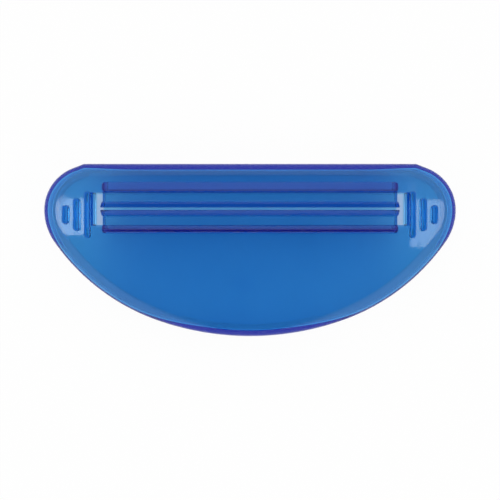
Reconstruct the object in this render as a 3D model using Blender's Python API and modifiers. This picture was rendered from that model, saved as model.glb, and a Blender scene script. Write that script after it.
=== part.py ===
"""Toothpaste tube squeezer: a half-moon moulding with a sprung slit for the tube.

Metres, +Z up. The squeezer lies face up on the foot of its rim. +X runs along the slit and +Y
points at the straight back edge. The origin is below the middle of the bounding box.
"""

from math import asin, cos, pi, radians, sin

import bmesh
import bpy
from mathutils import Matrix

# Half-moon outline. The widest line is the level in Y where the ends stand furthest apart.
HALF_LENGTH = 0.05405
BACK_RISE = 0.01211
SHOULDER_RADIUS = 0.01178
SHOULDER_SWEEP = radians(69.2)
END_RADIUS = 0.01465
END_SWEEP = radians(34.8)
SIDE_RADIUS = 0.05535
SIDE_SWEEP = radians(35.5)

# Shell: a face plate whose rounded edge runs down into a skirt.
SHELL_DEPTH = 0.0100
WALL = 0.0016
EDGE_ROUND = 0.0030

# Tunnel that the tube is pushed through, from the back to the slit.
SLOT_FROM_BACK = 0.01194
TUNNEL_WIDTH = 0.0086
END_LAND = 0.01425
END_WINDOW = 0.0014
END_WALL = 0.0012
END_WALL_FOOT = 0.0055
FOOT_LIFT = 0.0009

# Bars: the two long walls of the tunnel, which stand proud of the face.
UPPER_BAR_THICKNESS = 0.0027
LOWER_BAR_THICKNESS = 0.0021
BAR_RISE = 0.0018
BAR_CORNER = 0.0011
BAR_TOP_ROUND = 0.0007

# Lips: a thin web on a living hinge, with a stiff bead along the slit.
SLIT = 0.00066
LIP_RISE = 0.0017
WEB_THICKNESS = 0.0012
HINGE_THICKNESS = 0.0006
HINGE_WIDTH = 0.0008
BEAD_WIDTH = 0.0014
BEAD_FILLET = 0.0009
BEAD_ROUND = 0.0004
LEAD_IN_WIDTH = 0.0010
LEAD_IN_HEIGHT = 0.0014

# Finger grips: rounded ribs that get shorter towards the ends.
RIB_WIDTH = 0.00174
RIB_RISE = 0.0010
RIB_ROUND = 0.0005
RIB_FROM_TUNNEL = 0.0014
RIB_PITCH = 0.00287
RIB_LENGTH = 0.0121
RIB_SHORTENING = 0.0036
RIB_BELOW_SLOT = 0.00165
RIB_END_LAND = 0.0045

# Clearance between neighbouring pieces, and the overrun of a cutter.
GAP = 0.0003
OVERRUN = 0.0020

# Flat segments in each rounded stretch.
SHOULDER_STEPS = 12
END_STEPS = 7
SIDE_STEPS = 9
BOTTOM_STEPS = 6
EDGE_STEPS = 5
SMALL_STEPS = 4
CAP_STEPS = 8

# Translucent blue polypropylene.
PLASTIC_COLOR = (0.021, 0.141, 0.456, 1.0)
PLASTIC_ROUGHNESS = 0.18

# Places that follow from the sizes above.
TUNNEL_HALF_LENGTH = HALF_LENGTH - END_LAND
TUNNEL_HALF_WIDTH = TUNNEL_WIDTH / 2
BAR_HALF_LENGTH = TUNNEL_HALF_LENGTH - END_WINDOW
BAR_THICKNESS = {1: UPPER_BAR_THICKNESS, -1: LOWER_BAR_THICKNESS}
BAR_TOP = SHELL_DEPTH + BAR_RISE
FACE_UNDERSIDE = SHELL_DEPTH - WALL
LIP_TOP = SHELL_DEPTH + LIP_RISE
WEB_UNDERSIDE = SHELL_DEPTH - WEB_THICKNESS
HINGE_Z = SHELL_DEPTH - WEB_THICKNESS / 2
HINGE_FROM_SLOT = TUNNEL_HALF_WIDTH - GAP - HINGE_WIDTH / 2
LIP_ROOT = HINGE_FROM_SLOT - HINGE_WIDTH / 2 - GAP


def arc(centre, radius, start, end, steps):
    """Points on an arc from one angle to another, both ends included."""
    return [
        (
            centre[0] + radius * cos(start + (end - start) * step / steps),
            centre[1] + radius * sin(start + (end - start) * step / steps),
        )
        for step in range(steps + 1)
    ]


def right_half_outline():
    """The outline's right half, back corner to lowest point, with Y from the widest line."""
    shoulder_centre = (HALF_LENGTH - SHOULDER_RADIUS, 0)
    sweep = min(SHOULDER_SWEEP, asin(min(1, BACK_RISE / SHOULDER_RADIUS)))
    shoulder = arc(shoulder_centre, SHOULDER_RADIUS, sweep, 0, SHOULDER_STEPS)
    run = (BACK_RISE - shoulder[0][1]) * sin(sweep) / max(cos(sweep), 1 / SHOULDER_STEPS)
    corner = (shoulder[0][0] - run, BACK_RISE)

    end_centre = (HALF_LENGTH - END_RADIUS, 0)
    end = arc(end_centre, END_RADIUS, 0, -END_SWEEP, END_STEPS)

    reach = END_RADIUS - SIDE_RADIUS
    side_centre = (end_centre[0] + reach * cos(END_SWEEP), -reach * sin(END_SWEEP))
    turned = END_SWEEP + SIDE_SWEEP
    side = arc(side_centre, SIDE_RADIUS, -END_SWEEP, -turned, SIDE_STEPS)

    # The bottom arc runs on from the side arc, with its centre on the line of symmetry.
    bottom_radius = SIDE_RADIUS + side_centre[0] / cos(turned)
    bottom_centre = (0, side_centre[1] + (bottom_radius - SIDE_RADIUS) * sin(turned))
    bottom = arc(bottom_centre, bottom_radius, -turned, -pi / 2, BOTTOM_STEPS)
    lead = [corner] if run > 0 else []
    return lead + shoulder + end[1:] + side[1:] + bottom[1:]


HALF_OUTLINE = right_half_outline()
WIDEST_Y = -(BACK_RISE + HALF_OUTLINE[-1][1]) / 2
SLOT_Y = WIDEST_Y + BACK_RISE - SLOT_FROM_BACK


def collection(name):
    """A new collection in the scene."""
    made = bpy.data.collections.new(name)
    bpy.context.scene.collection.children.link(made)
    return made


def plastic(name):
    """The translucent blue plastic, as a material of its own for one piece."""
    material = bpy.data.materials.new(name)
    material.use_nodes = True
    shader = material.node_tree.nodes["Principled BSDF"]
    shader.inputs["Base Color"].default_value = PLASTIC_COLOR
    shader.inputs["Roughness"].default_value = PLASTIC_ROUGHNESS
    shader.inputs["Metallic"].default_value = 0
    material.diffuse_color = PLASTIC_COLOR
    return material


def prism(name, outline, thickness, place, target):
    """A flat outline made solid: a filled 2D curve, turned into a mesh with plain ends."""
    curve = bpy.data.curves.new(name + "_outline", "CURVE")
    curve.dimensions = "2D"
    curve.fill_mode = "BOTH"
    curve.extrude = thickness / 2
    spline = curve.splines.new("POLY")
    spline.points.add(len(outline) - 1)
    for point, (x, y) in zip(spline.points, outline):
        point.co = (x, y, 0, 1)
    spline.use_cyclic_u = True
    drawn = bpy.data.objects.new(name + "_outline", curve)
    bpy.context.scene.collection.objects.link(drawn)
    bpy.context.view_layer.update()
    evaluated = drawn.evaluated_get(bpy.context.evaluated_depsgraph_get())
    mesh = bpy.data.meshes.new_from_object(evaluated)
    bpy.data.objects.remove(drawn)

    piece = bpy.data.objects.new(name, mesh)
    target.objects.link(piece)
    piece.matrix_world = place
    edit = bmesh.new()
    edit.from_mesh(mesh)
    bmesh.ops.remove_doubles(edit, verts=edit.verts, dist=GAP / 100)
    bmesh.ops.dissolve_limit(edit, angle_limit=radians(0.5), verts=edit.verts, edges=edit.edges)
    bmesh.ops.recalc_face_normals(edit, faces=edit.faces)
    edit.to_mesh(mesh)
    edit.free()
    return piece


def round_edges(piece, radius, steps, wanted):
    """Rounds the edges of a piece that the test picks, given an edge's two ends."""
    edit = bmesh.new()
    edit.from_mesh(piece.data)
    edges = [edge for edge in edit.edges if wanted(edge.verts[0].co, edge.verts[1].co)]
    bmesh.ops.bevel(
        edit,
        geom=edges,
        offset=radius,
        segments=steps,
        profile=0.5,
        affect="EDGES",
        clamp_overlap=True,
    )
    edit.to_mesh(piece.data)
    edit.free()


def finish(piece, angle=radians(35)):
    """Gives a piece its material and smooth shading between its sharp edges."""
    piece.data.materials.append(plastic(piece.name + "_plastic"))
    piece.data.shade_smooth()
    piece.data.set_sharp_from_angle(angle=angle)
    return piece


def cut(piece, cutter):
    """Cuts one closed mesh out of a piece."""
    cutter.hide_render = True
    cutter.display_type = "WIRE"
    boolean = piece.modifiers.new(cutter.name, "BOOLEAN")
    boolean.operation = "DIFFERENCE"
    boolean.solver = "EXACT"
    boolean.object = cutter


def upright(y, z):
    """Places a prism whose outline lies flat, with its middle at a height."""
    return Matrix.Translation((0, y, z))


def bar_outline(side, margin):
    """A bar seen from the front, in Y from the slot line, square towards the slot."""
    near = TUNNEL_HALF_WIDTH - margin
    far = TUNNEL_HALF_WIDTH + BAR_THICKNESS[side] + margin
    half = BAR_HALF_LENGTH + margin
    radius = min(BAR_CORNER, BAR_THICKNESS[side] / 2) + margin
    middle = (half - radius, far - radius)
    right = arc(middle, radius, 0, pi / 2, SMALL_STEPS)
    points = [(half, near)] + right + [(-x, y) for x, y in reversed(right)] + [(-half, near)]
    return [(x, side * y) for x, y in points]


def box_outline(half_x, low_y, high_y):
    """A rectangle centred in X."""
    return [(half_x, low_y), (half_x, high_y), (-half_x, high_y), (-half_x, low_y)]


def make_shell(parts, cutters):
    """Face plate and skirt in one, with openings for the tunnel and the bars."""
    half = [(x, y + WIDEST_Y) for x, y in HALF_OUTLINE]
    outline = half + [(-x, y) for x, y in reversed(half[:-1])]
    shell = prism("face_shell", outline, SHELL_DEPTH, upright(0, SHELL_DEPTH / 2), parts)
    top = SHELL_DEPTH / 2
    near_top = top - GAP
    round_edges(
        shell, EDGE_ROUND, EDGE_STEPS, lambda a, b: a.z > near_top and b.z > near_top
    )
    edit = bmesh.new()
    edit.from_mesh(shell.data)
    foot = [face for face in edit.faces if face.calc_center_median().z < -near_top]
    bmesh.ops.delete(edit, geom=foot, context="FACES_ONLY")
    edit.to_mesh(shell.data)
    edit.free()

    solidify = shell.modifiers.new("wall", "SOLIDIFY")
    solidify.thickness = WALL
    solidify.offset = -1
    solidify.use_even_offset = True

    deep = WALL + 2 * OVERRUN
    level = SHELL_DEPTH - WALL / 2
    tunnel = box_outline(TUNNEL_HALF_LENGTH, -TUNNEL_HALF_WIDTH, TUNNEL_HALF_WIDTH)
    cut(shell, prism("tunnel_cutter", tunnel, deep, upright(SLOT_Y, level), cutters))
    for side, word in ((1, "upper"), (-1, "lower")):
        seat = bar_outline(side, GAP)
        cut(shell, prism(word + "_bar_cutter", seat, deep, upright(SLOT_Y, level), cutters))
    return finish(shell)


def make_bar(side, word, parts):
    """One long wall of the tunnel, from its foot up to the rounded top above the face."""
    height = BAR_TOP - FOOT_LIFT
    place = upright(SLOT_Y, FOOT_LIFT + height / 2)
    bar = prism(word + "_bar", bar_outline(side, 0), height, place, parts)
    top = height / 2 - GAP
    inner = TUNNEL_HALF_WIDTH + GAP
    round_edges(
        bar,
        BAR_TOP_ROUND,
        SMALL_STEPS,
        lambda a, b: min(a.z, b.z) > top and max(side * a.y, side * b.y) > inner,
    )
    return finish(bar)


def make_end_wall(side, word, parts):
    """The tunnel's end: a wall with two short arms back to the bars, below the face."""
    near = BAR_HALF_LENGTH + GAP
    end = TUNNEL_HALF_LENGTH
    inner = TUNNEL_HALF_WIDTH
    outer = TUNNEL_HALF_WIDTH + END_WALL
    arm = [(near, inner), (end, inner), (end, -inner), (near, -inner)]
    back = [(near, -outer), (end + END_WALL, -outer), (end + END_WALL, outer), (near, outer)]
    outline = [(side * x, y) for x, y in arm + back]
    height = FACE_UNDERSIDE - GAP - END_WALL_FOOT
    place = upright(SLOT_Y, END_WALL_FOOT + height / 2)
    return finish(prism(word + "_end_wall", outline, height, place, parts))


def along_slit(side, y, z):
    """Places a section drawn across the slit, so that its thickness runs along X."""
    turn = Matrix(((0, 0, 1, 0), (side, 0, 0, 0), (0, 1, 0, 0), (0, 0, 0, 1)))
    return Matrix.Translation((0, y, z)) @ turn


def make_lip(side, word, parts):
    """A lip: its web and the bead along the slit, with its origin on the hinge line."""
    slit_face = SLIT / 2
    shoulder = slit_face + BEAD_WIDTH
    fillet = min(BEAD_FILLET, LIP_ROOT - shoulder)
    top_round = min(BEAD_ROUND, BEAD_WIDTH / 3)
    lower = [
        (LIP_ROOT, WEB_UNDERSIDE),
        (LIP_ROOT, SHELL_DEPTH),
    ]
    foot = arc((shoulder + fillet, SHELL_DEPTH + fillet), fillet, 1.5 * pi, pi, SMALL_STEPS)
    outside = arc((shoulder - top_round, LIP_TOP - top_round), top_round, 0, pi / 2, SMALL_STEPS)
    inside = arc((slit_face + top_round, LIP_TOP - top_round), top_round, pi / 2, pi, SMALL_STEPS)
    lead_in = [
        (slit_face, WEB_UNDERSIDE + LEAD_IN_HEIGHT),
        (slit_face + LEAD_IN_WIDTH, WEB_UNDERSIDE),
    ]
    section = lower + foot + outside + inside + lead_in
    outline = [(y - HINGE_FROM_SLOT, z - HINGE_Z) for y, z in section]
    place = along_slit(side, SLOT_Y + side * HINGE_FROM_SLOT, HINGE_Z)
    lip = prism(word + "_lip", outline, 2 * BAR_HALF_LENGTH, place, parts)
    return finish(lip)


def make_hinge_web(side, word, parts):
    """The thin strip between a bar and its lip that bends as the lip opens."""
    outline = box_outline(HINGE_WIDTH / 2, -HINGE_THICKNESS / 2, HINGE_THICKNESS / 2)
    place = along_slit(side, SLOT_Y + side * HINGE_FROM_SLOT, HINGE_Z)
    return finish(prism(word + "_hinge_web", outline, 2 * BAR_HALF_LENGTH, place, parts))


def make_ribs(side, word, parts):
    """The finger grips of one end, from the tunnel's end outwards."""
    first = TUNNEL_HALF_LENGTH + RIB_FROM_TUNNEL + RIB_WIDTH / 2
    room = HALF_LENGTH - RIB_END_LAND - RIB_WIDTH / 2 - first
    radius = RIB_WIDTH / 2
    for number in range(int(room / RIB_PITCH) + 1):
        length = max(RIB_LENGTH - number * RIB_SHORTENING, RIB_WIDTH)
        straight = (length - RIB_WIDTH) / 2
        cap = arc((0, straight), radius, 0, pi, CAP_STEPS)
        outline = cap + [(-x, -y) for x, y in cap]
        height = RIB_RISE - GAP
        place = Matrix.Translation(
            (
                side * (first + number * RIB_PITCH),
                SLOT_Y - RIB_BELOW_SLOT,
                SHELL_DEPTH + GAP + height / 2,
            )
        )
        rib = prism(f"{word}_grip_rib_{number + 1}", outline, height, place, parts)
        top = height / 4
        round_edges(
            rib,
            min(RIB_ROUND, height / 2),
            SMALL_STEPS,
            lambda a, b: a.z > top and b.z > top,
        )
        finish(rib)


def main():
    """Clears the scene and builds the squeezer."""
    for item in list(bpy.data.objects):
        bpy.data.objects.remove(item)
    parts = collection("toothpaste_tube_squeezer")
    cutters = collection("cutters")
    make_shell(parts, cutters)
    for side, word in ((1, "upper"), (-1, "lower")):
        make_bar(side, word, parts)
        make_lip(side, word, parts)
        make_hinge_web(side, word, parts)
    for side, word in ((-1, "left"), (1, "right")):
        make_end_wall(side, word, parts)
        make_ribs(side, word, parts)
    bpy.context.view_layer.update()


main()
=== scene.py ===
"""Looks of the toothpaste tube squeezer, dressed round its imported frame.

The squeezer is one moulding in translucent blue plastic, seen face up from straight above on a
pale floor. Its body is drawn as one closed solid, because light that crosses the plastic has to
meet each surface once, and each lip is a strip that bends at its root. Lengths are metres.
"""

import logging
from dataclasses import dataclass
from enum import Enum
from math import cos, pi, radians, sin, tan

import bmesh
import bpy
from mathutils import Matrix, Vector


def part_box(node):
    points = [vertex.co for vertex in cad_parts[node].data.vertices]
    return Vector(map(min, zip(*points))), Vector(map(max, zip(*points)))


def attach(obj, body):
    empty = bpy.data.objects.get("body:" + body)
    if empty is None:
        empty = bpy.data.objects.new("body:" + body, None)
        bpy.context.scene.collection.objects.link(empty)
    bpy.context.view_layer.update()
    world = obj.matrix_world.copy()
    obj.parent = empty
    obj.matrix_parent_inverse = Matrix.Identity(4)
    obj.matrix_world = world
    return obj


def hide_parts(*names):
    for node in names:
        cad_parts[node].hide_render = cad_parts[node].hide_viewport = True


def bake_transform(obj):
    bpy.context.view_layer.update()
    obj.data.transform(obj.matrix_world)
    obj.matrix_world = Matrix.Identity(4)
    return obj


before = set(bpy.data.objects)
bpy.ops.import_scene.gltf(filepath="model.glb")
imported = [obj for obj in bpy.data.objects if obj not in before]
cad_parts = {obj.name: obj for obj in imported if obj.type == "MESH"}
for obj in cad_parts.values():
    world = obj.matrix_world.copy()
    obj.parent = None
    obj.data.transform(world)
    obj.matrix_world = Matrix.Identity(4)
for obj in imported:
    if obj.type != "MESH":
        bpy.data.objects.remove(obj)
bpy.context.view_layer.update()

Point = tuple[float, float]
Pair = tuple[float, float]
Color = tuple[float, float, float]
Ring = list[Vector]
Socket = bpy.types.NodeSocket

log = logging.getLogger("tube_squeezer")

MM = 0.001
WHITE = (1.0, 1.0, 1.0)
SMOOTH_ANGLE = radians(32)
FLAT_WEIGHT = 100


class Place(Enum):
    """A choice of places on the squeezer, each valued as its sign along X or Y."""

    @property
    def word(self) -> str:
        """The place's name, as the frame spells it."""
        return self.name.lower()


class Side(Place):
    """The two sides of the slit: towards the straight back edge, and away from it."""

    UPPER = 1
    LOWER = -1


class End(Place):
    """The two ends of the squeezer."""

    LEFT = -1
    RIGHT = 1


class Join(Enum):
    """What a tool does to the body it meets."""

    ADD = "UNION"
    CUT = "DIFFERENCE"


def arc(centre: Point, radius: float, start: float, end: float, steps: int) -> list[Point]:
    """Draws an arc, both ends included.

    Args:
        centre: The arc's centre.
        radius: Its radius.
        start: The angle it starts at, in radians.
        end: The angle it ends at.
        steps: How many straight pieces stand for it.

    Returns:
        The points in order.
    """
    turns = [start + (end - start) * step / steps for step in range(steps + 1)]
    return [(centre[0] + radius * cos(turn), centre[1] + radius * sin(turn)) for turn in turns]


def rounded_box(low: Point, high: Point, radius: float, steps: int) -> list[Point]:
    """Draws a rectangle with round corners, anticlockwise.

    Args:
        low: The corner with the least X and Y.
        high: The corner with the most.
        radius: The corners' radius, cut down to what the rectangle has room for.
        steps: Straight pieces in each corner.

    Returns:
        The points of the loop.
    """
    radius = min(radius, (high[0] - low[0]) / 2, (high[1] - low[1]) / 2)
    left, right = low[0] + radius, high[0] - radius
    bottom, top = low[1] + radius, high[1] - radius
    corners = [(right, top), (left, top), (left, bottom), (right, bottom)]
    loop: list[Point] = []
    for turn, corner in enumerate(corners):
        loop += arc(corner, radius, turn * pi / 2, (turn + 1) * pi / 2, steps)
    return loop


def eased(value: float, span: Pair) -> float:
    """Finds how far a value is along a range, with a soft start and end.

    Args:
        value: The value.
        span: The range's start and end, in either order.

    Returns:
        Zero before the start, one past the end.
    """
    share = min(max((value - span[0]) / (span[1] - span[0]), 0), 1)
    return share * share * (3 - 2 * share)


def loft(name: str, rings: list[Ring]) -> bpy.types.Object:
    """Skins a row of rings that have the same number of points, and closes both ends.

    Args:
        name: The new object's name.
        rings: The rings in order, all running the same way round.

    Returns:
        A closed mesh object with its faces pointing out.
    """
    sketch = bmesh.new()
    rows = [[sketch.verts.new(point) for point in ring] for ring in rings]
    for row, following in zip(rows, rows[1:]):
        for index, corner in enumerate(row):
            previous = index - 1
            sketch.faces.new((row[previous], corner, following[index], following[previous]))
    sketch.faces.new(rows[0])
    sketch.faces.new(list(reversed(rows[-1])))
    bmesh.ops.recalc_face_normals(sketch, faces=sketch.faces)
    mesh = bpy.data.meshes.new(name)
    sketch.to_mesh(mesh)
    sketch.free()
    made = bpy.data.objects.new(name, mesh)
    bpy.context.scene.collection.objects.link(made)
    return made


def combine(body: bpy.types.Object, tool: bpy.types.Object, join: Join = Join.ADD) -> None:
    """Joins a closed mesh to the body, or cuts it out, and removes it.

    Args:
        body: The object that keeps the result.
        tool: The closed mesh that is used up.
        join: What the tool does.
    """
    step = body.modifiers.new(tool.name, "BOOLEAN")
    step.operation = join.value
    step.solver = "EXACT"
    step.object = tool
    bpy.context.view_layer.update()
    graph = bpy.context.evaluated_depsgraph_get()
    old = body.data
    body.data = bpy.data.meshes.new_from_object(body.evaluated_get(graph))
    body.modifiers.clear()
    bpy.data.meshes.remove(old)
    bpy.data.objects.remove(tool)


def smooth(piece: bpy.types.Object) -> None:
    """Shades a piece smooth between its sharp edges, with its flat faces kept flat.

    Args:
        piece: The mesh object.
    """
    piece.data.shade_smooth()
    piece.data.set_sharp_from_angle(angle=SMOOTH_ANGLE)
    flat = piece.modifiers.new("flat_faces_lead", "WEIGHTED_NORMAL")
    flat.keep_sharp = True
    flat.weight = FLAT_WEIGHT


@dataclass
class Nodes:
    """Adds shader nodes to one node tree."""

    tree: bpy.types.NodeTree

    def feed(self, socket: Socket, value: Socket | float | tuple[float, ...]) -> None:
        """Gives an input its value, by a link or as a constant.

        Args:
            socket: The input.
            value: A node's output, or the constant.
        """
        if isinstance(value, Socket):
            self.tree.links.new(value, socket)
        else:
            socket.default_value = value

    def math(self, operation: str, first: Socket | float, second: Socket | float = 0.0) -> Socket:
        """Adds one sum.

        Args:
            operation: The Math node's operation.
            first: Its first value.
            second: Its second value, which some operations ignore.

        Returns:
            The result.
        """
        node = self.tree.nodes.new("ShaderNodeMath")
        node.operation = operation
        self.feed(node.inputs[0], first)
        self.feed(node.inputs[1], second)
        return node.outputs["Value"]

    def ramp(self, value: Socket, span: Pair, result: Pair) -> Socket:
        """Maps a value from one range to another, smoothly and clamped.

        Args:
            value: What is mapped.
            span: The range it comes from.
            result: The range it goes to.

        Returns:
            The mapped value.
        """
        node = self.tree.nodes.new("ShaderNodeMapRange")
        node.interpolation_type = "SMOOTHSTEP"
        for name, number in zip(("From Min", "From Max", "To Min", "To Max"), (*span, *result)):
            node.inputs[name].default_value = number
        self.feed(node.inputs["Value"], value)
        return node.outputs["Result"]

    def noise(self, where: Socket, scale: float, detail: float) -> Socket:
        """Adds a noise texture.

        Args:
            where: The place on the piece.
            scale: Features per metre.
            detail: Octaves.

        Returns:
            The noise's value.
        """
        node = self.tree.nodes.new("ShaderNodeTexNoise")
        self.feed(node.inputs["Scale"], scale)
        self.feed(node.inputs["Detail"], detail)
        self.feed(node.inputs["Vector"], where)
        return node.outputs["Fac"]

    def mix(self, share: Socket, first: Socket | Color, second: Color) -> Socket:
        """Blends two colours.

        Args:
            share: How much of the second colour.
            first: The first colour.
            second: The second colour.

        Returns:
            The blended colour.
        """
        node = self.tree.nodes.new("ShaderNodeMix")
        node.data_type = "RGBA"
        self.feed(node.inputs["Factor"], share)
        self.feed(node.inputs["A"], first if isinstance(first, Socket) else (*first, 1))
        self.feed(node.inputs["B"], (*second, 1))
        return node.outputs["Result"]

    def place(self, kind: str) -> Socket:
        """Reads the texture coordinate of one kind, such as Object."""
        return self.tree.nodes.new("ShaderNodeTexCoord").outputs[kind]

    def split(self, vector: Socket) -> list[Socket]:
        """Takes a vector apart.

        Args:
            vector: The vector.

        Returns:
            Its X, Y and Z.
        """
        node = self.tree.nodes.new("ShaderNodeSeparateXYZ")
        self.feed(node.inputs["Vector"], vector)
        return list(node.outputs)


@dataclass(frozen=True)
class Plastic:
    """Translucent blue injection-moulded plastic, glossy, with light scuffs from handling."""

    name: str
    absorbed: Color = (1.18, 0.455, 0.115)
    clouded: Color = (0.93, 0.965, 0.985)
    cloud_scale: float = 45
    cloud_detail: float = 3
    cloud_edge: Pair = (0.35, 0.6)
    gloss_roughness: float = 0.03
    scuff_roughness: float = 0.22
    scuff_turn: float = radians(-28)
    scuff_stretch: float = 0.3
    scuff_scale: float = 170
    scuff_detail: float = 4
    scuff_edge: Pair = (0.64, 0.8)
    ior: float = 1.46
    ripple: float = 0.12
    ripple_depth: float = 0.02 * MM
    ripple_scale: float = 220
    ripple_detail: float = 2
    passed: float = 1.0

    def material(self) -> bpy.types.Material:
        """Builds the finish: clear skin, colour from the depth of plastic, scuffs and ripples.

        Returns:
            The new material.
        """
        made = bpy.data.materials.new(self.name)
        made.use_nodes = True
        nodes = Nodes(made.node_tree)
        skin = made.node_tree.nodes["Principled BSDF"]
        skin.inputs["Transmission Weight"].default_value = 1
        skin.inputs["IOR"].default_value = self.ior
        skin.inputs["Metallic"].default_value = 0
        self._tint_depth(made.node_tree)
        self._let_light_through(made.node_tree, skin)
        where = nodes.place("Object")
        nodes.feed(skin.inputs["Base Color"], self._flow_marks(nodes, where))
        nodes.feed(skin.inputs["Roughness"], self._scuffs(nodes, where))
        nodes.feed(skin.inputs["Normal"], self._ripples(nodes, where))
        return made

    def _tint_depth(self, tree: bpy.types.NodeTree) -> None:
        """Adds the colour that light takes on inside the plastic, per millimetre of depth.

        Args:
            tree: The material's node tree.
        """
        depth = tree.nodes.new("ShaderNodeVolumeAbsorption")
        strongest = max(self.absorbed)
        depth.inputs["Density"].default_value = strongest / MM
        color = [1 - share / strongest for share in self.absorbed]
        depth.inputs["Color"].default_value = (*color, 1)
        output = tree.nodes["Material Output"]
        tree.links.new(depth.outputs["Volume"], output.inputs["Volume"])

    def _let_light_through(self, tree: bpy.types.NodeTree, skin: bpy.types.Node) -> None:
        """Lets light from the tent and lamps pass straight on to what is under the plastic.

        Args:
            tree: The material's node tree.
            skin: The surface that everything else meets.
        """
        path = tree.nodes.new("ShaderNodeLightPath")
        clear = tree.nodes.new("ShaderNodeBsdfTransparent")
        clear.inputs["Color"].default_value = (self.passed, self.passed, self.passed, 1)
        mix = tree.nodes.new("ShaderNodeMixShader")
        tree.links.new(path.outputs["Is Shadow Ray"], mix.inputs["Fac"])
        tree.links.new(skin.outputs["BSDF"], mix.inputs[1])
        tree.links.new(clear.outputs["BSDF"], mix.inputs[2])
        tree.links.new(mix.outputs["Shader"], tree.nodes["Material Output"].inputs["Surface"])

    def _flow_marks(self, nodes: Nodes, where: Socket) -> Socket:
        """Colours the skin, with the faint clouding that melt leaves as it fills the mould."""
        noise = nodes.noise(where, self.cloud_scale, self.cloud_detail)
        return nodes.mix(nodes.ramp(noise, self.cloud_edge, (0, 1)), self.clouded, WHITE)

    def _scuffs(self, nodes: Nodes, where: Socket) -> Socket:
        """Adds the few dull streaks of a used surface.

        Args:
            nodes: The material's nodes.
            where: The place on the piece.

        Returns:
            The skin's roughness.
        """
        turn = nodes.tree.nodes.new("ShaderNodeMapping")
        turn.inputs["Rotation"].default_value = (0, 0, self.scuff_turn)
        turn.inputs["Scale"].default_value = (1, self.scuff_stretch, 1)
        nodes.feed(turn.inputs["Vector"], where)
        streak = nodes.noise(turn.outputs["Vector"], self.scuff_scale, self.scuff_detail)
        return nodes.ramp(streak, self.scuff_edge, (self.gloss_roughness, self.scuff_roughness))

    def _ripples(self, nodes: Nodes, where: Socket) -> Socket:
        """Adds the shallow waviness of a moulded face.

        Args:
            nodes: The material's nodes.
            where: The place on the piece.

        Returns:
            The bent normal.
        """
        bump = nodes.tree.nodes.new("ShaderNodeBump")
        bump.inputs["Strength"].default_value = self.ripple
        bump.inputs["Distance"].default_value = self.ripple_depth
        noise = nodes.noise(where, self.ripple_scale, self.ripple_detail)
        nodes.feed(bump.inputs["Height"], noise)
        return bump.outputs["Normal"]


@dataclass
class Outline:
    """The half-moon seen from the front, made of arcs that run into each other.

    The spans are the distances from the middle in X over which the rim's section changes.
    """

    half_length: float
    widest_y: float
    back_rise: float = 12.11 * MM
    shoulder_radius: float = 11.78 * MM
    shoulder_sweep: float = radians(69.2)
    end_radius: float = 14.65 * MM
    end_sweep: float = radians(34.8)
    side_radius: float = 55.35 * MM
    side_sweep: float = radians(35.5)
    back_span: Pair = (30 * MM, 46 * MM)
    front_span: Pair = (8 * MM, 32 * MM)
    tip_span: Pair = (49 * MM, 54 * MM)
    steps: int = 24

    def half(self, inset: float) -> list[Point]:
        """Draws the right half, from the back corner to the lowest point.

        Args:
            inset: How far inside the outline the line runs.

        Returns:
            The points, with Y from the widest line.
        """
        radius = self.shoulder_radius - inset
        middle = (self.half_length - self.shoulder_radius, 0.0)
        shoulder = arc(middle, radius, self.shoulder_sweep, 0, self.steps)
        top = self.back_rise - inset
        corner = (shoulder[0][0] - (top - shoulder[0][1]) * tan(self.shoulder_sweep), top)
        middle = (self.half_length - self.end_radius, 0.0)
        end = arc(middle, self.end_radius - inset, 0, -self.end_sweep, self.steps // 2)
        reach = self.end_radius - self.side_radius
        middle = (middle[0] + reach * cos(self.end_sweep), -reach * sin(self.end_sweep))
        turned = self.end_sweep + self.side_sweep
        side = arc(middle, self.side_radius - inset, -self.end_sweep, -turned, self.steps)
        bottom_radius = self.side_radius + middle[0] / cos(turned)
        middle = (0.0, middle[1] + (bottom_radius - self.side_radius) * sin(turned))
        bottom = arc(middle, bottom_radius - inset, -turned, -pi / 2, self.steps)
        return [corner, *shoulder, *end[1:], *side[1:], *bottom[1:]]

    def ring(self, inset: float, z: float) -> Ring:
        """Draws the whole outline at one height.

        Args:
            inset: How far inside the outline the ring runs.
            z: The ring's height.

        Returns:
            The ring, clockwise seen from above.
        """
        right = [(x, y + self.widest_y) for x, y in self.half(inset)]
        left = [(-x, y) for x, y in reversed(right[:-1])]
        corner = right[0]
        places = [2 * step / self.steps - 1 for step in range(1, self.steps)]
        back = [(corner[0] * place, corner[1]) for place in places]
        return [Vector((x, y, z)) for x, y in right + left + back]

    def swept(self, middle: Point, corner: Point, tip: Point) -> Ring:
        """Draws one line along the rim, whose section changes along the outline.

        Args:
            middle: How far inside the outline the line runs in the middle, and its height there.
            corner: The same in the two lower corners.
            tip: The same at the tips and the shoulders.

        Returns:
            The ring, clockwise seen from above.
        """
        points = []
        for start, inner in zip(self.ring(0, 0), self.ring(MM, 0)):
            in_corner, at_tip = self._shares(start)
            shares = (1 - in_corner - at_tip, in_corner, at_tip)
            inset, z = (
                sum(share * value for share, value in zip(shares, values))
                for values in zip(middle, corner, tip)
            )
            spot = start + (inner - start) * (inset / MM)
            points.append(Vector((spot.x, spot.y, z)))
        return points

    def _shares(self, spot: Vector) -> Pair:
        """Works out how much of the corners' and of the tips' section the rim has at one spot.

        Args:
            spot: A point on the outline.

        Returns:
            The corners' share and the tips' share, both none in the middle.
        """
        out = abs(spot.x)
        if spot.y > self.widest_y:
            return 0.0, eased(out, self.back_span)
        share, tip = eased(out, self.front_span), eased(out, self.tip_span)
        return share * (1 - tip), share * tip


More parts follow.
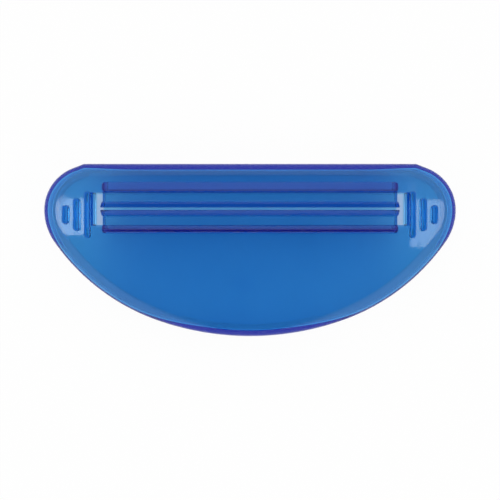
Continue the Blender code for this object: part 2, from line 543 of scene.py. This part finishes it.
@dataclass
class Ridge:
    """A raised bar or rib with round corners in plan and round shoulders all along its top.

    The shoulders are how far the rounding reaches in at the ends, on the low-Y side and on the
    high-Y side, and the drop is how far it reaches down.
    """

    name: str
    low: Point
    high: Point
    foot: float
    top: float
    drop: float
    corner: float
    shoulders: tuple[float, float, float]
    tilt: Pair = (0.0, 0.0)
    least_corner: float = 0.05 * MM
    steps: int = 10

    def build(self) -> bpy.types.Object:
        """Skins the ridge from its foot to its top.

        Returns:
            The closed mesh.
        """
        ends, near, far = self.shoulders
        rings = [self._ring(0, 0, 0, self.foot)]
        for step in range(self.steps + 1):
            turn = pi / 2 * step / self.steps
            inwards, down = 1 - cos(turn), self.drop * (1 - sin(turn))
            rings.append(self._ring(ends * inwards, near * inwards, far * inwards, self.top - down))
        return loft(self.name, rings)

    def _ring(self, ends: float, near: float, far: float, z: float) -> Ring:
        """Draws one ring of the ridge.

        Args:
            ends: How far the ring is drawn in at both ends in X.
            near: How far it is drawn in on its low-Y side.
            far: How far it is drawn in on its high-Y side.
            z: Its height, before the top's tilt.

        Returns:
            The ring's points.
        """
        low = (self.low[0] + ends, self.low[1] + near)
        high = (self.high[0] - ends, self.high[1] - far)
        corner = max(self.corner - max(ends, near, far), self.least_corner)
        loop = rounded_box(low, high, corner, self.steps)
        middle = [(start + end) / 2 for start, end in zip(self.low, self.high)]
        tilt = [slope * (z > self.foot) for slope in self.tilt]
        return [
            Vector((x, y, z + (x - middle[0]) * tilt[0] + (y - middle[1]) * tilt[1]))
            for x, y in loop
        ]


@dataclass(frozen=True)
class Rim:
    """The section of the rim: the rounded edge, the skirt and the corner inside.

    The value on_white is the share of the skirt's foot that stands on white paper.
    """

    wall: float
    edge: Pair
    corner: Pair
    on_white: float
    foot_round: float = 0.25 * MM
    steps: int = 16

    def section(self, top: float, plate: float) -> list[Point]:
        """Draws the section down the outside, round the foot and up the inside.

        Args:
            top: The face's height.
            plate: The face plate's thickness.

        Returns:
            The points, as distance inside the outline and height.
        """
        turns = [pi / 2 * step / self.steps for step in range(self.steps + 1)]
        outside = [
            (self.edge[0] * (1 - sin(turn)), top - self.edge[1] * (1 - cos(turn)))
            for turn in turns
        ]
        foot = [
            (0.0, self.foot_round),
            (self.foot_round, 0.0),
            (self.wall - self.foot_round, 0.0),
            (self.wall, self.foot_round),
        ]
        inside = [
            (
                self.wall + self.corner[0] * (1 - sin(turn)),
                top - plate - self.corner[1] * (1 - cos(turn)),
            )
            for turn in reversed(turns)
        ]
        return outside + foot + inside


@dataclass
class Body:
    """The face plate, its skirt, the tunnel, the bars and the finger ribs, in one moulding."""

    outline: Outline
    slot_y: float
    top: float
    plate: float = 1.4 * MM
    middle_rim: Rim = Rim(1.8 * MM, (3.2 * MM, 2.6 * MM), (0.4 * MM, 0.4 * MM), 0.8)
    corner_rim: Rim = Rim(0.85 * MM, (3.8 * MM, 2.6 * MM), (2.9 * MM, 1.2 * MM), 0.5)
    tip_rim: Rim = Rim(1.35 * MM, (3.6 * MM, 2.6 * MM), (1.45 * MM, 0.75 * MM), 0.7)
    # Width of the ring of paper inside the skirt's foot that gets painted shade, a weaker painted
    # blue light.
    shade_width: float = 2.6 * MM
    tunnel_half_length: float = 40.8 * MM
    tunnel_half_width: float = 4.2 * MM
    tunnel_corner: float = 0.35 * MM
    tunnel_foot: float = 0.9 * MM
    wall_below_face: float = 1.0 * MM
    long_wall: float = 0.45 * MM
    long_wall_corner: float = 0.4 * MM
    outer_wall: Pair = (5.38 * MM, 5.78 * MM)
    outer_wall_foot: float = 2.2 * MM
    cross_wall: float = 0.75 * MM
    cross_wall_foot: float = 3.5 * MM
    end_wall: float = 0.5 * MM
    end_wall_lap: float = 0.25 * MM
    end_wall_inside: float = 0.1 * MM
    end_wall_beside: float = 0.15 * MM
    end_wall_foot: float = 5.6 * MM
    end_wall_rise: float = 0.3 * MM
    end_wall_slope: float = 0.3
    end_wall_corner: float = 0.3 * MM
    end_wall_shoulder: float = 0.12 * MM
    end_wall_drop: float = 0.15 * MM
    ridge_root: float = 0.8 * MM
    bar_half_length: float = 38.5 * MM
    bar_end_round: float = 0.3 * MM
    bar_rise: float = 1.4 * MM
    bar_from_tunnel: float = 0.1 * MM
    bar_shoulder: float = 0.2 * MM
    bar_round: float = 0.85 * MM
    bar_flank: float = 1.0 * MM
    bar_flank_drop: float = 1.3 * MM
    bar_corner: float = 1.0 * MM
    upper_bar_width: float = 2.7 * MM
    lower_bar_width: float = 2.1 * MM
    bar_slope: float = tan(radians(14))
    rib_width: float = 1.74 * MM
    rib_rise: float = 1.2 * MM
    rib_shoulder: float = 0.26 * MM
    rib_drop: float = 0.3 * MM
    rib_slope: float = 0.05
    rib_skin: float = 0.62 * MM
    rib_pitch: float = 2.87 * MM
    rib_length: float = 12.2 * MM
    rib_shortening: float = 3.62 * MM
    rib_below_slot: float = 1.5 * MM
    rib_count: int = 3
    mark_place: Point = (-1.35 * MM, -19.2 * MM)
    mark_radius: float = 2.47 * MM
    mark_depth: float = 0.08 * MM
    mark_steps: int = 64
    overrun: float = 1.0 * MM
    space_rise: float = 10.0 * MM
    corner_steps: int = 8

    def build(self) -> bpy.types.Object:
        """Joins the shell, tunnel, bars and ribs, and opens the tunnel.

        Returns:
            The moulding as one closed mesh.
        """
        body = self._shell()
        for tool in (self._long_walls(), self._outer_wall(), self._gate_mark()):
            combine(body, tool)
        for side in Side:
            combine(body, self._bar(side))
        for end in End:
            combine(body, self._cross_wall(end))
            combine(body, self._end_wall(end))
            for number in range(self.rib_count):
                combine(body, self._rib(end, number))
                combine(body, self._rib_core(end, number), Join.CUT)
        combine(body, self._tunnel_space(), Join.CUT)
        smooth(body)
        return body

    def dress(self, moulding: bpy.types.Object, finish: bpy.types.Material) -> None:
        """Gives the moulding its plastic and its place in the frame.

        Args:
            moulding: The moulding.
            finish: Its plastic.
        """
        moulding.data.materials.clear()
        moulding.data.materials.append(finish)
        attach(moulding, "body")
        shown_by_lips = {f"{side.word}_{part}" for side in Side for part in ("lip", "hinge_web")}
        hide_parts(*(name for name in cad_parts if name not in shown_by_lips))

    @property
    def _rims(self) -> tuple[Rim, Rim, Rim]:
        """The rim's three sections, in the order that the outline takes them."""
        return self.middle_rim, self.corner_rim, self.tip_rim

    def _shell(self) -> bpy.types.Object:
        """Skins the face plate and the skirt: down the outside, round the foot, up the inside."""
        sections = [rim.section(self.top, self.plate) for rim in self._rims]
        return loft("body_moulding", [self.outline.swept(*spots) for spots in zip(*sections)])

    def footprint(self) -> Ring:
        """Draws the line along the skirt's foot that parts the paper with painted shade from the
        white.
        """
        return self.outline.swept(*((rim.wall * rim.on_white, 0.0) for rim in self._rims))

    def _block(self, name: str, half: Pair, radius: float, z: Pair) -> bpy.types.Object:
        """Makes an upright block round the slit's middle, with round corners.

        Args:
            name: The object's name.
            half: Half its length and half its width.
            radius: Its corners' radius in plan.
            z: Its foot and its top.

        Returns:
            The closed mesh.
        """
        low = (-half[0], self.slot_y - half[1])
        high = (half[0], self.slot_y + half[1])
        loop = rounded_box(low, high, radius, self.corner_steps)
        return loft(name, [[Vector((x, y, level)) for x, y in loop] for level in z])

    def _long_walls(self) -> bpy.types.Object:
        """Makes the block that leaves the two long walls once the tunnel is opened in it.

        Returns:
            The closed mesh.
        """
        half = (self.bar_half_length, self.tunnel_half_width + self.long_wall)
        levels = (self.tunnel_foot, self.top - self.wall_below_face)
        return self._block("long_walls", half, self.long_wall_corner, levels)

    def _gate_mark(self) -> bpy.types.Object:
        """Makes the faint disc that the mould leaves on the underside of the face.

        Returns:
            The closed mesh.
        """
        middle = (self.mark_place[0], self.slot_y + self.mark_place[1])
        loop = arc(middle, self.mark_radius, 0, 2 * pi, self.mark_steps)[:-1]
        ceiling = self.top - self.plate
        levels = (ceiling - self.mark_depth, ceiling + self.mark_depth)
        return loft("gate_mark", [[Vector((x, y, z)) for x, y in loop] for z in levels])

    def _outer_wall(self) -> bpy.types.Object:
        """Makes the second wall behind the lower bar, under its outer flank.

        Returns:
            The closed mesh.
        """
        near, far = self.outer_wall
        corners = [
            (-self.bar_half_length, self.slot_y - far),
            (self.bar_half_length, self.slot_y - far),
            (self.bar_half_length, self.slot_y - near),
            (-self.bar_half_length, self.slot_y - near),
        ]
        levels = (self.outer_wall_foot, self.top - self.wall_below_face)
        return loft("outer_wall", [[Vector((x, y, z)) for x, y in corners] for z in levels])

    def _cross_wall(self, end: End) -> bpy.types.Object:
        """Makes the short wall that closes both bars at one end.

        Args:
            end: Which end of the squeezer.

        Returns:
            The closed mesh.
        """
        out = self.bar_half_length
        across = sorted((end.value * out, end.value * (out - self.cross_wall)))
        near = self.slot_y - self.tunnel_half_width - self.lower_bar_width
        far = self.slot_y + self.tunnel_half_width + self.upper_bar_width
        loop = [(across[0], near), (across[1], near), (across[1], far), (across[0], far)]
        levels = (self.cross_wall_foot, self.top - self.wall_below_face)
        name = end.word + "_cross_wall"
        return loft(name, [[Vector((x, y, z)) for x, y in loop] for z in levels])

    def _end_wall(self, end: End) -> bpy.types.Object:
        """Makes the thick land at one end of the tunnel.

        Args:
            end: Which end of the squeezer.

        Returns:
            The closed mesh.
        """
        near = self.tunnel_half_length - self.end_wall_inside
        far = self.tunnel_half_length + self.end_wall + self.end_wall_lap
        across = sorted((end.value * near, end.value * far))
        half_width = self.tunnel_half_width + self.end_wall_beside
        return Ridge(
            name=end.word + "_end_ridge",
            low=(across[0], self.slot_y - half_width),
            high=(across[1], self.slot_y + half_width),
            foot=self.end_wall_foot,
            top=self.top + self.end_wall_rise,
            drop=self.end_wall_drop,
            corner=self.end_wall_corner,
            shoulders=(self.end_wall_shoulder,) * 3,
            tilt=(-end.value * self.end_wall_slope, 0.0),
        ).build()

    def _tunnel_space(self) -> bpy.types.Object:
        """Makes the space that the tube passes through.

        Returns:
            The closed mesh.
        """
        half = (self.tunnel_half_length, self.tunnel_half_width)
        levels = (-self.overrun, self.top + self.space_rise)
        return self._block("tunnel_space", half, self.tunnel_corner, levels)

    def _bar(self, side: Side) -> bpy.types.Object:
        """Makes one of the two bars beside the lips.

        Args:
            side: Which bar.

        Returns:
            The closed mesh.
        """
        width = self.upper_bar_width if side is Side.UPPER else self.lower_bar_width
        near = self.slot_y + side.value * (self.tunnel_half_width + self.bar_from_tunnel)
        far = near + side.value * width
        if side is Side.UPPER:
            drop, flank = self.bar_round, self.bar_shoulder
        else:
            drop, flank = self.bar_flank_drop, self.bar_flank
        return Ridge(
            name=side.word + "_bar_ridge",
            low=(-self.bar_half_length, min(near, far)),
            high=(self.bar_half_length, max(near, far)),
            foot=self.top - self.ridge_root,
            top=self.top + self.bar_rise,
            drop=drop,
            corner=self.bar_corner,
            shoulders=(self.bar_end_round, flank, self.bar_shoulder),
            tilt=(0.0, -self.bar_slope),
        ).build()

    def _rib_box(self, end: End, number: int, inset: float) -> tuple[Point, Point]:
        """Works out where a finger rib stands.

        Args:
            end: Which end of the squeezer.
            number: The rib's place, counted outwards from the tunnel.
            inset: How far inside the rib's sides the box runs.

        Returns:
            The corners with the least and the most X and Y.
        """
        first = self.tunnel_half_length + self.end_wall + self.rib_width / 2
        x = end.value * (first + number * self.rib_pitch)
        y = self.slot_y - self.rib_below_slot
        across = self.rib_width / 2 - inset
        along = (self.rib_length - number * self.rib_shortening) / 2 - inset
        return (x - across, y - along), (x + across, y + along)

    def _rib_core(self, end: End, number: int) -> bpy.types.Object:
        """Makes the hollow behind one finger rib, which keeps the moulding even in thickness.

        Args:
            end: Which end of the squeezer.
            number: The rib's place, counted outwards from the tunnel.

        Returns:
            The closed mesh.
        """
        low, high = self._rib_box(end, number, self.rib_skin)
        loop = rounded_box(low, high, self.rib_width, self.corner_steps)
        ceiling = self.top - self.plate
        levels = (ceiling - self.overrun, ceiling + self.rib_rise)
        name = f"{end.word}_rib_core_{number + 1}"
        return loft(name, [[Vector((x, y, z)) for x, y in loop] for z in levels])

    def _rib(self, end: End, number: int) -> bpy.types.Object:
        """Makes one finger rib.

        Args:
            end: Which end of the squeezer.
            number: The rib's place, counted outwards from the tunnel.

        Returns:
            The closed mesh.
        """
        low, high = self._rib_box(end, number, 0)
        return Ridge(
            name=f"{end.word}_rib_{number + 1}",
            low=low,
            high=high,
            foot=self.top - self.ridge_root,
            top=self.top + self.rib_rise,
            drop=self.rib_drop,
            corner=self.rib_width / 2,
            shoulders=(self.rib_shoulder,) * 3,
            tilt=(end.value * self.rib_slope, 0.0),
        ).build()


@dataclass
class Lip:
    """A springy strip beside the slit: a thin web that ends in a thick bead."""

    side: Side
    slot_y: float
    face: float
    half_length: float = 38.3 * MM
    longer: float = 0.4 * MM
    root: float = 4.17 * MM
    end_rib: float = 0.5 * MM
    end_rib_drop: float = 1.0 * MM
    web: float = 1.15 * MM
    slit: float = 0.33 * MM
    bead_width: float = 1.45 * MM
    bead_rise: float = 1.6 * MM
    bead_slope: float = tan(radians(14))
    bead_fall: float = 0.25 * MM
    chamfer: Pair = (0.35 * MM, 0.5 * MM)
    fillet: float = 0.35 * MM
    peak_round: float = 0.55 * MM
    slit_round: float = 0.25 * MM
    bend_span: Pair = (0.1 * MM, 1.0 * MM)
    steps: int = 12
    web_steps: int = 14
    stations: int = 24

    def section(self, deeper: float) -> list[Point]:
        """Draws the strip's section, as distance from the slit's middle and height.

        Args:
            deeper: How much lower the underside lies than on most of the strip.

        Returns:
            The points, clockwise from the root's underside.
        """
        peak = self.slit + self.bead_width
        top = self.face + self.bead_rise
        low = self.face - self.web - deeper
        foot_end = peak + self.fillet
        underside = [
            (self.root + (foot_end - self.root) * step / self.web_steps, low)
            for step in range(self.web_steps + 1)
        ]
        topside = [(x, self.face) for x, _ in underside]
        middle = (foot_end, self.face + self.fillet)
        rise = arc(middle, self.fillet, -pi / 2, -pi, self.steps)
        crest = peak - self.peak_round
        crown = arc((crest, top - self.peak_round), self.peak_round, 0, pi / 2, self.steps)
        fall = (crest - self.slit - self.slit_round) * self.bead_slope
        middle = (self.slit + self.slit_round, top - fall - self.slit_round)
        mouth = arc(middle, self.slit_round, pi / 2, pi, self.steps)
        low -= self.bead_fall
        below = [
            (self.slit, low + self.chamfer[1]),
            (self.slit + self.chamfer[0], low),
            (peak, low),
        ]
        return topside + rise[1:] + crown + mouth + below + underside[::-1]

    def build(self) -> bpy.types.Object:
        """Skins the strip from its left end to its right end.

        Returns:
            The closed mesh.
        """
        inside = 1 - self.end_rib / self.half_length
        turns = [2 * step / self.stations - 1 for step in range(self.stations + 1)]
        left = [(-1, self.end_rib_drop), (-inside, self.end_rib_drop)]
        right = [(inside, self.end_rib_drop), (1, self.end_rib_drop)]
        stations = [*left, *((inside * turn, 0.0) for turn in turns), *right]
        rings = [
            [
                Vector((place * self._reach(out), self.slot_y + self.side.value * out, z))
                for out, z in self.section(deeper)
            ]
            for place, deeper in stations
        ]
        strip = loft(self.side.word + "_lip_strip", rings)
        smooth(strip)
        return strip

    def _reach(self, out: float) -> float:
        """Works out half the strip's length, which grows along the bead towards the slit."""
        foot = self.slit + self.bead_width + self.fillet
        return self.half_length + self.longer * eased(out, (foot, self.slit))

    def dress(self, strip: bpy.types.Object, finish: bpy.types.Material) -> None:
        """Gives the strip its plastic, bakes its place into its mesh and hides the frame's lip and
        web.

        Args:
            strip: The strip.
            finish: Its plastic.
        """
        strip.data.materials.append(finish)
        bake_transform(strip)
        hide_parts(self.side.word + "_lip", self.side.word + "_hinge_web")


@dataclass(frozen=True)
class Lamp:
    """A small soft lamp beside the camera, which shows in the gloss of one end."""

    end: End
    y: float
    depth: float
    radiance: float
    width: float = 33 * MM
    color: Color = (1.0, 0.93, 0.82)

    def hang(self, reach: float, height: float) -> None:
        """Hangs the lamp, facing down.

        Args:
            reach: How far beside the camera.
            height: How far above the floor.
        """
        data = bpy.data.lights.new(self.end.word + "_lamp", "AREA")
        data.shape = "RECTANGLE"
        data.size, data.size_y = self.width, self.depth
        data.energy = self.radiance * pi * self.width * self.depth
        data.color = self.color
        lamp = bpy.data.objects.new(self.end.word + "_lamp", data)
        lamp.location = (self.end.value * reach, self.y, height)
        bpy.context.scene.collection.objects.link(lamp)


@dataclass
class Studio:
    """The pale floor, the soft light round it, the two small lamps and the camera.

    The gap is the light tent's dark opening for the camera, with its width and its reach given
    as slopes from straight up.
    """

    face: float
    footprint: Ring
    inner_ring: Ring
    slot_y: float
    camera_distance: float = 240 * MM
    view_width: float = 130 * MM
    sensor_width: float = 36
    clip: Pair = (10 * MM, 10000 * MM)
    floor_size: float = 3000 * MM
    paper_color: Color = (0.93, 0.93, 0.93)
    paper_roughness: float = 0.9
    brightness: float = 1.0
    gap_level: float = 0.09
    backlight: float = 0.96
    # Painted light: a blue glow on the paper under the squeezer, seen only by camera, glossy and
    # transmission rays, in place of the light that comes through the plastic.
    painted_under_share: float = 0.27
    painted_under_color: Color = (0.08, 0.41, 0.89)
    # Painted shade: the painted blue light is weaker towards the straight back edge.
    back_span: Pair = (15 * MM, 21 * MM)
    painted_back_shade: float = 0.66
    # Painted shade: the ring of paper by the skirt's foot gets only this share of the painted blue
    # light.
    painted_edge_shade: float = 0.5
    # Painted light: the paper under the squeezer glows more, and greener, towards the ends.
    painted_end_share: float = 0.14
    painted_end_color: Color = (0.12, 0.56, 0.84)
    end_span: Pair = (30 * MM, 50 * MM)
    # Painted light: a pale pool painted on the paper behind the two windows.
    painted_window_share: float = 0.12
    painted_window_color: Color = (0.55, 0.66, 0.92)
    window: Pair = (39.6 * MM, 41.5 * MM)
    window_half_width: float = 4.5 * MM
    window_edge: float = 0.3 * MM
    gap_width: Pair = (tan(radians(7)), tan(radians(19)))
    gap_reach: Pair = (tan(radians(5)), tan(radians(50)))
    lamp_reach: float = 100 * MM
    lamps: tuple[Lamp, Lamp] = (
        Lamp(End.LEFT, 17.2 * MM, 18.8 * MM, 5.0),
        Lamp(End.RIGHT, 13.9 * MM, 24.6 * MM, 3.7),
    )

    def build(self) -> None:
        """Sets the whole studio up."""
        self._floor()
        self._sky()
        for lamp in self.lamps:
            lamp.hang(self.lamp_reach, self._camera_height())
        self._camera()

    def _floor(self) -> None:
        """Lays the floor: matt paper that reads as white round the squeezer, with painted blue
        light and painted shade on the paper under it.
        """
        sketch = bmesh.new()
        lit, shaded, white = range(3)
        corners = [(-1, -1), (1, -1), (1, 1), (-1, 1)]
        reach = self.floor_size / 2
        edge = [sketch.verts.new((x * reach, y * reach, 0)) for x, y in corners]
        under = [sketch.verts.new(point) for point in self.footprint]
        sides = [
            sketch.edges.new((loop[step - 1], loop[step]))
            for loop in (edge, under)
            for step in range(len(loop))
        ]
        bmesh.ops.triangle_fill(sketch, edges=sides, use_beauty=True)
        for face in sketch.faces:
            face.material_index = white
        inner = [sketch.verts.new(point) for point in self.inner_ring]
        for step in range(len(inner)):
            strip = (under[step - 1], under[step], inner[step], inner[step - 1])
            sketch.faces.new(strip).material_index = shaded
        sketch.faces.new(inner).material_index = lit
        bmesh.ops.recalc_face_normals(sketch, faces=sketch.faces)
        for face in sketch.faces:
            face.normal_update()
            if face.normal.z < 0:
                face.normal_flip()
        mesh = bpy.data.meshes.new("studio_floor")
        sketch.to_mesh(mesh)
        sketch.free()
        floor = bpy.data.objects.new("studio_floor", mesh)
        bpy.context.scene.collection.objects.link(floor)
        # Painted light: the paper under the middle glows blue, the ring by the skirt's foot glows
        # weaker as painted shade, and the white paper round it is evenly bright.
        mesh.materials.append(self._paper("painted_blue_light_paper", 1))
        mesh.materials.append(self._paper("painted_shade_paper", self.painted_edge_shade))
        mesh.materials.append(self._paper("white_paper", None))

    def _paper(self, name: str, level: float | None) -> bpy.types.Material:
        """Makes the floor's paper: white round the squeezer, with painted light under it.

        Args:
            name: The material's name.
            level: How much of the painted blue light under the squeezer it gets, or none for what
                is round it.

        Returns:
            The new material.
        """
        paper = bpy.data.materials.new(name)
        paper.use_nodes = True
        tree = paper.node_tree
        nodes = Nodes(tree)
        skin = tree.nodes["Principled BSDF"]
        skin.inputs["Base Color"].default_value = (*self.paper_color, 1)
        skin.inputs["Roughness"].default_value = self.paper_roughness
        skin.inputs["Specular IOR Level"].default_value = 0
        glow = tree.nodes.new("ShaderNodeEmission")
        share, color = self.backlight, (*WHITE, 1)
        if level is not None:
            share, color = self._painted_light_under(nodes, level)
        nodes.feed(glow.inputs["Color"], color)
        glow.inputs["Strength"].default_value = 1
        mix = tree.nodes.new("ShaderNodeMixShader")
        nodes.feed(mix.inputs["Fac"], nodes.math("MULTIPLY", self._seen(nodes), share))
        nodes.feed(mix.inputs[1], skin.outputs["BSDF"])
        nodes.feed(mix.inputs[2], glow.outputs["Emission"])
        nodes.feed(tree.nodes["Material Output"].inputs["Surface"], mix.outputs["Shader"])
        return paper

    def _painted_light_under(self, nodes: Nodes, level: float) -> tuple[Socket, Socket]:
        """Works out the painted light on the paper under the squeezer: blue, pale behind the
        windows.

        Args:
            nodes: The material's nodes.
            level: How much of the painted light under the squeezer the paper gets.

        Returns:
            The share of that painted light, and its colour.
        """
        x, y, _ = nodes.split(nodes.place("Object"))
        out = nodes.math("ABSOLUTE", x)
        aside = nodes.math("ABSOLUTE", nodes.math("SUBTRACT", y, self.slot_y))
        start, end = self.window
        edge = self.window_edge
        half = self.window_half_width
        # Painted light: a pale pool on the paper behind each window.
        window = nodes.ramp(out, (start - edge, start + edge), (0, 1))
        for value, limit in ((out, end), (aside, half)):
            inside = nodes.ramp(value, (limit - edge, limit + edge), (1, 0))
            window = nodes.math("MINIMUM", window, inside)
        # Painted light: stronger and greener towards the ends.
        near_end = nodes.ramp(out, self.end_span, (0, 1))
        # Painted shade: less of the painted light towards the back edge.
        back = nodes.ramp(y, self.back_span, (level, level * self.painted_back_shade))
        share = nodes.math("MULTIPLY", near_end, self.painted_end_share)
        # Painted light: the blue glow's share, weaker towards the back edge.
        share = nodes.math("MULTIPLY", nodes.math("ADD", share, self.painted_under_share), back)
        share = nodes.math("ADD", share, nodes.math("MULTIPLY", window, self.painted_window_share))
        blue = nodes.mix(near_end, self.painted_under_color, self.painted_end_color)
        return share, nodes.mix(window, blue, self.painted_window_color)

    def _seen(self, nodes: Nodes) -> Socket:
        """Tells apart what the camera sees, direct or in or through a piece, from other light.

        Args:
            nodes: The material's nodes.

        Returns:
            One for what the camera sees, or zero for other light.
        """
        path = nodes.tree.nodes.new("ShaderNodeLightPath")
        total = path.outputs["Is Camera Ray"]
        for name in ("Is Glossy Ray", "Is Transmission Ray"):
            total = nodes.math("MAXIMUM", total, path.outputs[name])
        return total

    def _sky(self) -> None:
        """Makes the light tent: even all round, with the dark opening for the camera on top."""
        world = bpy.data.worlds.new("light_tent")
        world.use_nodes = True
        bpy.context.scene.world = world
        nodes = Nodes(world.node_tree)
        x, y, z = nodes.split(nodes.place("Generated"))
        across = nodes.math("DIVIDE", x, z)
        along = nodes.math("DIVIDE", y, z)
        near, far = self.gap_reach
        behind = nodes.math("MINIMUM", nodes.math("MAXIMUM", along, -far), -near)
        beyond = nodes.math("SUBTRACT", along, behind)
        squares = [nodes.math("MULTIPLY", side, side) for side in (across, beyond)]
        distance = nodes.math("SQRT", nodes.math("ADD", *squares))
        background = world.node_tree.nodes["Background"]
        background.inputs["Color"].default_value = (*WHITE, 1)
        level = nodes.ramp(distance, self.gap_width, (self.gap_level, self.brightness))
        nodes.feed(background.inputs["Strength"], level)

    def _camera_height(self) -> float:
        """The camera's height above the floor."""
        return self.face + self.camera_distance

    def _camera(self) -> None:
        """Sets the camera straight above the squeezer."""
        data = bpy.data.cameras.new("camera")
        data.sensor_width = self.sensor_width
        data.lens = data.sensor_width * self.camera_distance / self.view_width
        data.clip_start, data.clip_end = self.clip
        camera = bpy.data.objects.new("camera", data)
        camera.location = (0, 0, self._camera_height())
        bpy.context.scene.collection.objects.link(camera)
        bpy.context.scene.camera = camera


def main() -> None:
    """Builds the squeezer and its studio, and reports each piece."""
    logging.basicConfig(level=logging.INFO, format="%(name)s: %(message)s")
    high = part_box("face_shell")[1]
    outline = Outline(half_length=high.x, widest_y=high.y - Outline.back_rise)
    slot_y = (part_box("lower_lip")[1].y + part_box("upper_lip")[0].y) / 2
    body = Body(outline=outline, slot_y=slot_y, top=high.z)
    moulding = body.build()
    body.dress(moulding, Plastic("body_plastic").material())
    log.info("body_moulding: %d faces", len(moulding.data.polygons))

    lip_plastic = Plastic("lip_plastic").material()
    for side in Side:
        lip = Lip(side=side, slot_y=slot_y, face=high.z)
        strip = lip.build()
        lip.dress(strip, lip_plastic)
        log.info("%s: %d faces", strip.name, len(strip.data.polygons))

    Studio(
        face=high.z,
        footprint=body.footprint(),
        inner_ring=outline.ring(body.shade_width, 0),
        slot_y=slot_y,
    ).build()
    bpy.context.scene.view_settings.view_transform = "Standard"


if __name__ == "__main__":
    main()
